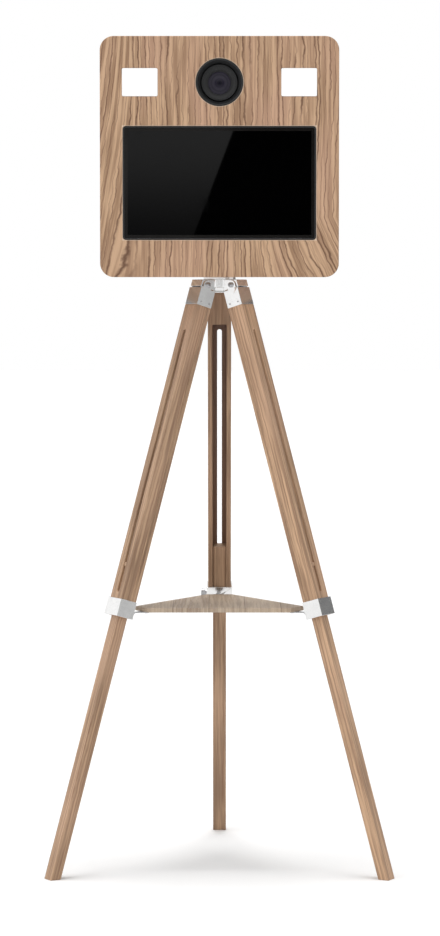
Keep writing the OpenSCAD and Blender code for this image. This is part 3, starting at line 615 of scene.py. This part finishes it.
def finish_of(slot):
    """The material for one of the record's slots."""
    makers = {
        "laminate": lambda: material("Laminate", laminate),
        "shell": lambda: material("Laminate sides", shell_laminate),
        "shelf_wood": lambda: material("Shelf planks", shelf_wood),
        "nickel": lambda: material("Nickel plate", metal("nickel", 0.13, 0.06), Metallic=1.0),
        "steel": lambda: material("Zinc plate", metal("steel", 0.28, 0.2, 1.4), Metallic=1.0),
        "sheet": lambda: material("Zinc sheet", zinc, Metallic=1.0),
        "door_paint": lambda: material("Powder coat", moulded("coat", 0.5, 1300.0, 0.55)),
        "black_plastic": lambda: material("Black plastic", moulded("plastic", 0.45, 1700.0, 0.3)),
        "lens_black": lambda: material("Anodised black", moulded("lens", 0.42, 2400.0, 0.15, 1.35)),
        "port": lambda: material("Port black", moulded("port", 0.6, 1900.0, 0.12, 1.3)),
        "grip_rubber": lambda: material("Ribbed rubber", moulded("plastic", 0.7, 1100.0, 0.5)),
        "screen_glass": lambda: material("Screen glass", screen_face),
        "display_metal": lambda: material("Display housing", zinc, Metallic=0.9),
        "lens_glass": lambda: material("Coated glass", element_face, Specular_IOR_Level=0.25),
        "diffuser": lambda: material("Opal window", opal_face, Emission_Color=(1.0, 1.0, 1.0, 1.0),
                                     Emission_Strength=0.12),
        "lamp_plastic": lambda: material("Flash housing", moulded("opal", 0.5, 1500.0, 0.2, 0.9)),
        "button_metal": lambda: material("Satin button", metal("steel", 0.3, 0.15), Metallic=1.0),
        "contacts": lambda: material("Gold contacts", contact_face, Metallic=1.0),
    }
    return makers[slot]()


# Geometry


def publish(name, mesh, finish, body):
    """Links a mesh as a piece at the origin, gives it its finish and sets it on its body."""
    piece = bpy.data.objects.new(name, mesh)
    bpy.context.scene.collection.objects.link(piece)
    mesh.materials.clear()
    mesh.materials.append(finish)
    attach(piece, body)
    return piece


def body_with(node):
    """The body that holds a CAD node."""
    return frame["nodes"][node]["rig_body"]


def paint(node, finish):
    """Gives a CAD node, left as it is, a finish."""
    mesh = frame["nodes"][node].data
    mesh.materials.clear()
    mesh.materials.append(finish)


def eased(node, finish, width, segments=2, angle=32.0):
    """A copy of a CAD node with its loose triangles joined, flat faces merged, and each edge sharper
    than angle rounded by width. It stands for the node."""
    work = bmesh.new()
    work.from_mesh(frame["nodes"][node].data)
    bmesh.ops.remove_doubles(work, verts=work.verts, dist=2e-6)
    bmesh.ops.dissolve_limit(work, angle_limit=math.radians(0.4), verts=work.verts, edges=work.edges)
    mesh = bpy.data.meshes.new(node + "_eased")
    work.to_mesh(mesh)
    work.free()
    mesh.shade_smooth()
    mesh.set_sharp_from_angle(angle=math.radians(angle))
    piece = publish(node + "_eased", mesh, finish, body_with(node))
    rounding = piece.modifiers.new("Rounded edges", "BEVEL")
    rounding.width = width
    rounding.segments = segments
    rounding.limit_method = "ANGLE"
    rounding.angle_limit = math.radians(angle)
    rounding.use_clamp_overlap = False
    rounding.harden_normals = True
    rounding.miter_outer = "MITER_ARC"
    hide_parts(node)
    return piece


def grid_mesh(name, points, closed_u=False, closed_v=False, cap_start=False, cap_end=False):
    """A mesh from points[v, u]: quads between neighbours, wrapped where closed, with an end ring
    closed by one face where asked. Points run so that faces look outwards."""
    rows, columns = points.shape[:2]
    index = np.arange(rows * columns).reshape(rows, columns)
    right = np.roll(index, -1, axis=1) if closed_u else index[:, 1:]
    left = index if closed_u else index[:, :-1]
    if closed_v:
        quads = np.stack([left, right, np.roll(right, -1, axis=0), np.roll(left, -1, axis=0)], -1)
    else:
        quads = np.stack([left[:-1], right[:-1], right[1:], left[1:]], -1)
    faces = [tuple(q) for q in quads.reshape(-1, 4).tolist()]
    if cap_start:
        faces.append(tuple(index[0, ::-1].tolist()))
    if cap_end:
        faces.append(tuple(index[-1].tolist()))
    mesh = bpy.data.meshes.new(name)
    mesh.from_pydata(points.reshape(-1, 3).tolist(), [], faces)
    return mesh


def settle(mesh, angle=35.0):
    """Merges doubles, points faces outwards and smooths all but sharp edges."""
    work = bmesh.new()
    work.from_mesh(mesh)
    bmesh.ops.remove_doubles(work, verts=work.verts, dist=1e-7)
    bmesh.ops.recalc_face_normals(work, faces=work.faces)
    work.to_mesh(mesh)
    work.free()
    mesh.shade_smooth()
    mesh.set_sharp_from_angle(angle=math.radians(angle))
    return mesh


def joined(name, meshes):
    """Several meshes as one."""
    work = bmesh.new()
    for mesh in meshes:
        work.from_mesh(mesh)
        bpy.data.meshes.remove(mesh)
    whole = bpy.data.meshes.new(name)
    work.to_mesh(whole)
    work.free()
    return settle(whole)


def facing(axis):
    """Two directions across an axis, and the axis, as rows of unit length."""
    ahead = np.array(axis, float) / np.linalg.norm(axis)
    helper = np.array((0.0, 0.0, 1.0)) if abs(ahead[2]) < 0.9 else np.array((1.0, 0.0, 0.0))
    side = np.cross(helper, ahead)
    side /= np.linalg.norm(side)
    return side, np.cross(ahead, side), ahead


def screw_head(at, axis, radius, turn=0.0):
    """A pan-head screw: on rings of radius r and angle t its height is that of a flattened dome,
    less a cross-shaped recess where the point lies near either arm of the cross."""
    side, up, ahead = facing(axis)
    rings = np.array((0.04, 0.12, 0.2, 0.28, 0.36, 0.42, 0.5, 0.56, 0.64, 0.76, 0.88, 0.96, 1.0, 1.0))
    angles = np.linspace(0.0, 2 * np.pi, 40, endpoint=False) + turn
    r, t = np.meshgrid(rings, angles, indexing="ij")
    dome = 0.52 * np.sqrt(np.clip(1.06 - r ** 2.6, 0.0, None))
    p, q = r * np.cos(t), r * np.sin(t)
    c, s = np.cos(turn), np.sin(turn)
    arm = np.minimum(np.abs(c * p + s * q), np.abs(c * q - s * p))
    reach = np.clip((0.56 - r) / 0.08, 0.0, 1.0)
    recess = 0.34 * np.clip((0.15 - arm) / 0.05, 0.0, 1.0) * reach
    height = dome - recess
    height[-1] = 0.0
    points = (np.array(at, float) + radius * (p[..., None] * side + q[..., None] * up
                                              + height[..., None] * ahead))
    return grid_mesh("screw", points, closed_u=True, cap_start=True, cap_end=True)


def screws(name, places, radius, body, finish="steel"):
    """Pan-head screws at places, each a point and the direction it faces."""
    made = [screw_head(at, axis, radius, turn=0.7 * number) for number, (at, axis) in enumerate(places)]
    return publish(name, joined(name, made), finish_of(finish), body)


def turned(name, profile, centre, count=96):
    """A ring turned about an axis along Y through centre: each profile point (radius, y) goes round the
    axis, and the profile closes on itself."""
    profile = np.array(profile, float)
    angles = np.linspace(0.0, 2 * np.pi, count, endpoint=False)
    radius, angle = np.meshgrid(profile[:, 0], angles, indexing="ij")
    along = np.broadcast_to(profile[:, 1][:, None], radius.shape)
    points = np.stack([centre[0] + radius * np.cos(angle), along, centre[2] + radius * np.sin(angle)], -1)
    return settle(grid_mesh(name, points, closed_u=True, closed_v=True), 28.0)


def round_rectangle(half_width, half_height, radius, corner=6):
    """Outline points of a rectangle with round corners."""
    angles = np.linspace(0.0, np.pi / 2, corner)
    parts = []
    for number, (sx, sz) in enumerate(((1, 1), (-1, 1), (-1, -1), (1, -1))):
        turn = angles + number * np.pi / 2
        parts.append(np.stack([sx * (half_width - radius) + radius * np.cos(turn),
                               sz * (half_height - radius) + radius * np.sin(turn)], -1))
    return np.concatenate(parts)


def tray(name, centre, stations, corner=6):
    """A form along Y: at each station (half width, half height, corner radius, y) stands one rounded
    outline, the outlines are joined in turn, and the first and last are closed."""
    rows = []
    for half_width, half_height, radius, y in stations:
        outline = round_rectangle(half_width, half_height, radius, corner)
        x, z = centre[0] + outline[:, 0], centre[2] + outline[:, 1]
        rows.append(np.stack([x, np.full(len(outline), y), z], -1))
    return grid_mesh(name, np.array(rows), closed_u=True, cap_start=True, cap_end=True)


def on_leg(angle, x, y, z):
    """A point in a leg's own frame, in the model's frame."""
    sizes = bpy.context.scene.booth_sizes
    c, s = math.cos(sizes.leg_tilt), math.sin(sizes.leg_tilt)
    out, up = x * c - z * s, x * s + z * c
    r, a = sizes.pivot_radius + out, math.radians(angle)
    return (r * math.cos(a) - y * math.sin(a), AXIS_Y + r * math.sin(a) + y * math.cos(a),
            sizes.pivot_height + up)


def across_leg(angle, way):
    """The direction across a leg."""
    a = math.radians(angle)
    return (-way * math.sin(a), way * math.cos(a), 0.0)


# Operators


class BOOTH_OT_panel(bpy.types.Operator):
    """Front panel and side shell in grained laminate with eased edges"""
    bl_idname = "booth.panel"
    bl_label = "Panel and shell"

    def execute(self, context):
        edge = context.scene.booth_sizes.wood_edge
        eased("front_panel", finish_of("laminate"), edge * 1.3, 3)
        eased("side_shell", finish_of("shell"), edge, 2)
        return {"FINISHED"}


class BOOTH_OT_screen(bpy.types.Operator):
    """Touch screen: bezel, black glass and the display behind it"""
    bl_idname = "booth.screen"
    bl_label = "Touch screen"

    def execute(self, context):
        eased("screen_bezel", finish_of("black_plastic"), 0.0006, 2)
        eased("touch_glass", finish_of("screen_glass"), 0.0003, 2)
        paint("display_panel", finish_of("display_metal"))
        paint("display_straps", finish_of("steel"))
        return {"FINISHED"}


class BOOTH_OT_camera(bpy.types.Operator):
    """Lens port, lens with its grooves and rims, camera body, bracket and button"""
    bl_idname = "booth.camera"
    bl_label = "Camera and lens"

    def execute(self, context):
        eased("lens_port", finish_of("port"), 0.0006, 3)
        eased("lens_barrel", finish_of("lens_black"), 0.0003, 2)
        paint("zoom_ring", finish_of("grip_rubber"))
        paint("front_element", finish_of("lens_glass"))
        eased("camera_body", finish_of("black_plastic"), 0.0003, 2)
        paint("camera_bracket", finish_of("steel"))
        paint("shutter_button", finish_of("button_metal"))
        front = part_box("lens_barrel")[0].y
        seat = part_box("front_element")[0].y + 0.0008
        rings = {
            "lens_grooves": self.grooves(front, context.scene.booth_sizes.thread_rings),
            "lens_rim": [(0.0338, front - 0.0001), (0.0335, front - 0.0005), (0.0318, front - 0.0005),
                         (0.0314, front - 0.0001), (0.0314, front + 0.0010), (0.0338, front + 0.0010)],
            "lens_retainer": [(0.0242, seat + 0.0028), (0.0238, seat + 0.0020), (0.0216, seat + 0.0022),
                              (0.0212, seat + 0.0032), (0.0242, seat + 0.0042)],
        }
        for name, profile in rings.items():
            publish(name, turned(name, profile, LENS), finish_of("lens_black"), body_with("lens_barrel"))
        return {"FINISHED"}

    def grooves(self, front, count):
        """Profile of the ring inside the lens's front: its inner side narrows backwards in count teeth."""
        rise = GROOVES_LONG / count
        steps = np.arange(count)
        radius = GROOVES_RADIUS - steps * (GROOVES_NARROW / count)
        y = front + GROOVES_START + steps * rise
        tooth = ((0.0001, 0.0), (-0.0008, 0.15), (-0.0008, 0.45), (-0.0001, 0.6))
        cone = np.stack([np.stack([radius + out, y + part * rise], -1) for out, part in tooth], 1)
        start, end = front + GROOVES_START, front + GROOVES_END
        return np.concatenate([cone.reshape(-1, 2), [(0.0247, end), (0.0320, end), (0.0320, start)]])


class BOOTH_OT_flash(bpy.types.Operator):
    """Flash windows and the lamp housings behind them"""
    bl_idname = "booth.flash"
    bl_label = "Flash windows"

    def execute(self, context):
        for side in ("left", "right"):
            eased("flash_window_" + side, finish_of("diffuser"), 0.0006, 2)
            paint("flash_head_" + side, finish_of("lamp_plastic"))
        return {"FINISHED"}


class BOOTH_OT_rear(bpy.types.Operator):
    """Rear frame, door, hinges, latch, fan and connection plate, with their screws and sockets"""
    bl_idname = "booth.rear"
    bl_label = "Rear door and plate"

    def execute(self, context):
        for node in ("rear_frame", "rear_door", "connection_plate"):
            eased(node, finish_of("door_paint"), 0.0005, 2)
        for node in ("door_hinge_shell", "door_hinge_door", "door_hinge_pins"):
            paint(node, finish_of("steel"))
        eased("door_latch", finish_of("steel"), 0.0004, 2)
        for node in ("power_inlet", "power_switch", "switch_housing", "fan_frame", "fan_rotor"):
            paint(node, finish_of("black_plastic"))
        self.fasteners()
        self.sockets()
        return {"FINISHED"}

    def fasteners(self):
        """Screws of the fan, the door's hinge leaves, the plate and the inlet."""
        fan, plate, inlet = middle("fan_frame"), middle("connection_plate"), middle("power_inlet")
        screws("fan_screws", [((fan.x + sx * FAN_SCREW, DOOR_BACK, fan.z + sz * FAN_SCREW), BACKWARDS)
                              for sx in (-1, 1) for sz in (-1, 1)], 0.0034, body_with("rear_door"))
        low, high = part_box("door_hinge_door")
        screws("hinge_screws", [((high.x - inwards, DOOR_BACK + HINGE_LEAF, z), BACKWARDS)
                                for z in (low.z + 0.007, high.z - 0.007) for inwards in (0.0045, 0.0125)],
               0.0028, body_with("rear_door"))
        screws("plate_screws", [((x, PLATE_BACK, plate.z), BACKWARDS) for x in PLATE_SCREWS], 0.0034,
               body_with("connection_plate"))
        inlet_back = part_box("power_inlet")[1].y
        screws("inlet_screws", [((inlet.x + side * 0.0195, inlet_back, inlet.z), BACKWARDS)
                                for side in (-1, 1)], 0.0027, body_with("power_inlet"))

    def sockets(self):
        """Liners and contacts of the plate's sockets: one row of contacts in each, near the top of a tall
        socket and in the middle of a flat one."""
        liners, contacts, body = [], [], body_with("connection_plate")
        for x, wide, tall, count in SOCKETS:
            middle_z = middle("power_inlet").z
            liners.append(tray("liner", (x, PLATE_BACK, middle_z), [
                (wide / 2 - inset, tall / 2 - inset, corner, PLATE_BACK + out)
                for inset, corner, out in LINER]))
            row = (wide - 0.0045) / 2
            up = 0.0003 if count == 4 else tall / 2 - 0.0024
            for along in np.linspace(-row, row, count):
                contacts.append(tray("contact", (x + along, PLATE_BACK, middle_z + up), [
                    (*sizes, PLATE_BACK + out) for *sizes, out in CONTACT], 3))
        publish("socket_liners", joined("socket_liners", liners), finish_of("black_plastic"), body)
        publish("socket_contacts", joined("socket_contacts", contacts), finish_of("contacts"), body)


class BOOTH_OT_inside(bpy.types.Operator):
    """Computer and power supply behind the rear door"""
    bl_idname = "booth.inside"
    bl_label = "Inside"

    def execute(self, context):
        eased("booth_computer", finish_of("door_paint"), 0.0009, 2)
        eased("power_supply", finish_of("sheet"), 0.0006, 2)
        for node in ("booth_computer", "power_supply"):
            low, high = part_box(node)
            screws(node + "_screws", [((x, high.y, low.z + 0.036), BACKWARDS)
                                      for x in (low.x + 0.008, high.x - 0.008)], 0.0025, body_with(node))
        return {"FINISHED"}


class BOOTH_OT_tripod(bpy.types.Operator):
    """Hub, sleeves, legs, collars and clamp screws"""
    bl_idname = "booth.tripod"
    bl_label = "Tripod"

    def execute(self, context):
        sizes = context.scene.booth_sizes
        eased("hub", finish_of("nickel"), sizes.metal_edge, 2)
        eased("head_flange", finish_of("nickel"), sizes.metal_edge, 2)
        paint("head_bolt", finish_of("steel"))
        for name, angle in LEGS.items():
            upper = material("Leg wood, upper " + name, leg_wood(angle, LEG_TONE_AND_SHADE[name], True))
            lower = material("Leg wood, lower " + name, leg_wood(angle, LEG_TONE_AND_SHADE[name], False))
            eased("upper_leg_" + name, upper, sizes.wood_edge, 2)
            eased("lower_leg_" + name, lower, sizes.wood_edge, 2)
            sleeve = material("Nickel plate, sleeve " + name, sleeve_metal(angle), Metallic=1.0)
            eased("leg_sleeve_" + name, sleeve, sizes.metal_edge, 2)
            eased("collar_" + name, finish_of("nickel"), sizes.metal_edge, 2)
            paint("pivot_bolt_" + name, finish_of("steel"))
            paint("clamp_screw_" + name, finish_of("steel"))
            heads = [(on_leg(angle, BOLT_OUT, way * BOLT_END, 0.0), across_leg(angle, way))
                     for way in (-1, 1)]
            screws("pivot_heads_" + name, heads, BOLT_HEAD, body_with("pivot_bolt_" + name))
            nails = [(on_leg(angle, x, way * SLEEVE_SIDE, NAIL_UP), across_leg(angle, way))
                     for way in (-1, 1) for x in (-NAIL_OUT, NAIL_OUT)]
            screws("sleeve_nails_" + name, nails, NAIL_HEAD, body_with("leg_sleeve_" + name))
        return {"FINISHED"}


class BOOTH_OT_shelf(bpy.types.Operator):
    """Plank shelf with its metal tongues and pins"""
    bl_idname = "booth.shelf"
    bl_label = "Shelf"

    def execute(self, context):
        eased("shelf", finish_of("shelf_wood"), context.scene.booth_sizes.wood_edge, 2)
        for name in LEGS:
            eased("shelf_tongue_" + name, finish_of("steel"), 0.0003, 2)
        paint("shelf_pins", finish_of("steel"))
        return {"FINISHED"}


class BOOTH_OT_stage(bpy.types.Operator):
    """Pale floor, soft light, reflection cards and the camera"""
    bl_idname = "booth.stage"
    bl_label = "Stage"

    def execute(self, context):
        scene, stage = context.scene, context.scene.booth_stage
        scene.view_settings.view_transform = "Standard"
        self.world(stage)
        self.floor()
        lamp = bpy.data.lights.new("Top light", "SUN")
        lamp.energy, lamp.angle = stage.top_sun, math.radians(17)
        top = bpy.data.objects.new("Top light", lamp)
        top.rotation_euler = (math.radians(-3), 0.0, 0.0)
        scene.collection.objects.link(top)
        self.cards()
        camera_data = bpy.data.cameras.new("Camera")
        camera_data.lens, camera_data.sensor_width = stage.lens, 36.0
        camera_data.clip_end = 200.0
        camera = bpy.data.objects.new("Camera", camera_data)
        camera.location = (0.001, AXIS_Y - stage.distance, stage.height)
        camera.rotation_euler = (math.radians(90) - stage.pitch, 0.0, 0.0)
        scene.collection.objects.link(camera)
        scene.camera = camera
        return {"FINISHED"}

    def flat(self, name, corners, finish):
        """One flat face between corners, with its finish."""
        mesh = bpy.data.meshes.new(name)
        mesh.from_pydata(corners, [], [tuple(range(len(corners)))])
        mesh.materials.append(finish)
        made = bpy.data.objects.new(name, mesh)
        bpy.context.scene.collection.objects.link(made)
        return made

    def world(self, stage):
        """White where it is seen or mirrored. As light it comes evenly from all sides, and more from the
        front left."""
        world = bpy.data.worlds.new("Studio")
        bpy.context.scene.world = world
        graph = bare(world)
        way = graph.node("ShaderNodeTexCoord").outputs["Generated"]
        front = graph.node("ShaderNodeVectorMath", {0: way, 1: (-0.60, -0.72, 0.35)},
                           operation="DOT_PRODUCT").outputs["Value"]
        light = graph.multiply_add(graph.math("MAXIMUM", front, 0.0), stage.front, stage.surround)
        path = graph.node("ShaderNodeLightPath").outputs
        through = graph.math("MAXIMUM", path["Is Glossy Ray"], path["Is Transmission Ray"])
        seen = graph.math("MAXIMUM", path["Is Camera Ray"], through)
        soft = graph.node("ShaderNodeBackground", {"Color": (1.0, 1.0, 1.0, 1.0), "Strength": light})
        white = graph.node("ShaderNodeBackground", {"Color": (1.0, 1.0, 1.0, 1.0), "Strength": 1.0})
        both = graph.node("ShaderNodeMixShader", {0: seen, 1: soft.outputs[0], 2: white.outputs[0]})
        graph.node("ShaderNodeOutputWorld", {"Surface": both.outputs[0]})

    def floor(self):
        """A wide floor at height 0: the camera sees it near white with its soft shadow kept."""
        side = 40.0
        corners = [(-side, -side, 0), (side, -side, 0), (side, side, 0), (-side, side, 0)]
        made = bpy.data.materials.new("Pale floor")
        graph = bare(made)
        path = graph.node("ShaderNodeLightPath").outputs
        plain = graph.node("ShaderNodeBsdfDiffuse", {"Color": (0.80, 0.80, 0.80, 1.0)})
        shade = graph.node("ShaderNodeBsdfDiffuse", {"Color": (0.95, 0.95, 0.95, 1.0)})
        glow = graph.node("ShaderNodeEmission", {"Color": (1.0, 1.0, 1.0, 1.0), "Strength": 0.03})
        seen = graph.node("ShaderNodeAddShader", {0: shade.outputs[0], 1: glow.outputs[0]})
        both = graph.node("ShaderNodeMixShader", {0: path["Is Camera Ray"], 1: plain.outputs[0],
                                                  2: seen.outputs[0]})
        graph.node("ShaderNodeOutputMaterial", {"Surface": both.outputs[0]})
        floor = self.flat("floor", corners, made)

    def cards(self):
        """Cards that only mirrors see: a dark one before the booth, a grey one on its left that fades
        downwards and has a slanted edge, and grey ones on the right and behind, on both sides."""
        near, far = AXIS_Y - 2.08, AXIS_Y - 2.10
        self.card("screen_card",
                  [(-0.62, near, 1.20), (-0.0813, near, 1.20), (0.0292, near, 1.4921),
                   (0.0392, near, 1.5185), (-0.62, near, 1.5185)],
                  (1.22, 1.50), (0.10, 0.42))
        self.card("dark_card", [(-0.9, far, 1.17), (0.9, far, 1.17), (0.9, far, 1.9), (-0.9, far, 1.9)],
                  (0.0, 1.0), (0.004, 0.004))
        self.card("right_card", [(2.2, -2.6, -0.2), (3.2, -0.9, -0.2), (3.2, -0.9, 3.0), (2.2, -2.6, 3.0)],
                  (0.0, 1.0), (0.47, 0.47))
        self.card("back_right_card", [(2.6, 0.9, 0.7), (1.0, 2.6, 0.7), (1.0, 2.6, 3.0), (2.6, 0.9, 3.0)],
                  (0.0, 1.0), (0.17, 0.17))
        self.card("back_left_card",
                  [(-2.6, 0.9, 1.35), (-1.0, 2.6, 1.35), (-1.0, 2.6, 3.0), (-2.6, 0.9, 3.0)],
                  (0.0, 1.0), (0.34, 0.34))

    def card(self, name, corners, span, levels):
        """A flat card whose glow goes from the first level to the second over a span of heights."""
        made = bpy.data.materials.new(name)
        graph = bare(made)
        height = graph.split(graph.place())[2]
        glow = graph.node("ShaderNodeEmission", {"Strength": graph.span(height, span[0], span[1], *levels)})
        graph.node("ShaderNodeOutputMaterial", {"Surface": glow.outputs[0]})
        card = self.flat(name, corners, made)
        card.visible_camera = card.visible_diffuse = card.visible_shadow = False
        card.visible_transmission = card.visible_volume_scatter = False


OPERATORS = (BOOTH_OT_panel, BOOTH_OT_screen, BOOTH_OT_camera, BOOTH_OT_flash, BOOTH_OT_rear,
             BOOTH_OT_inside, BOOTH_OT_tripod, BOOTH_OT_shelf, BOOTH_OT_stage)
GROUPS = {"booth_sizes": BoothSizes, "booth_colours": BoothColours, "booth_stage": BoothStage}


class BOOTH_PT_panel(bpy.types.Panel):
    """Lists the booth's operators and settings"""
    bl_idname = "BOOTH_PT_panel"
    bl_label = "Photo booth"
    bl_space_type = "VIEW_3D"
    bl_region_type = "UI"
    bl_category = "Photo booth"

    def draw(self, context):
        for kind in OPERATORS:
            self.layout.operator(kind.bl_idname)
        for name, kind in GROUPS.items():
            box = self.layout.box()
            for label in kind.__annotations__:
                box.prop(getattr(context.scene, name), label)


def register():
    for kind in (*GROUPS.values(), *OPERATORS, BOOTH_PT_panel):
        bpy.utils.register_class(kind)
    for name, kind in GROUPS.items():
        setattr(bpy.types.Scene, name, bpy.props.PointerProperty(type=kind))


def unregister():
    for name in GROUPS:
        delattr(bpy.types.Scene, name)
    for kind in reversed((*GROUPS.values(), *OPERATORS, BOOTH_PT_panel)):
        bpy.utils.unregister_class(kind)


def main():
    register()
    bpy.ops.booth.panel()
    bpy.ops.booth.screen()
    bpy.ops.booth.camera()
    bpy.ops.booth.flash()
    bpy.ops.booth.rear()
    bpy.ops.booth.inside()
    bpy.ops.booth.tripod()
    bpy.ops.booth.shelf()
    bpy.ops.booth.stage()
    bpy.context.view_layer.update()


if __name__ == "__main__":
    main()
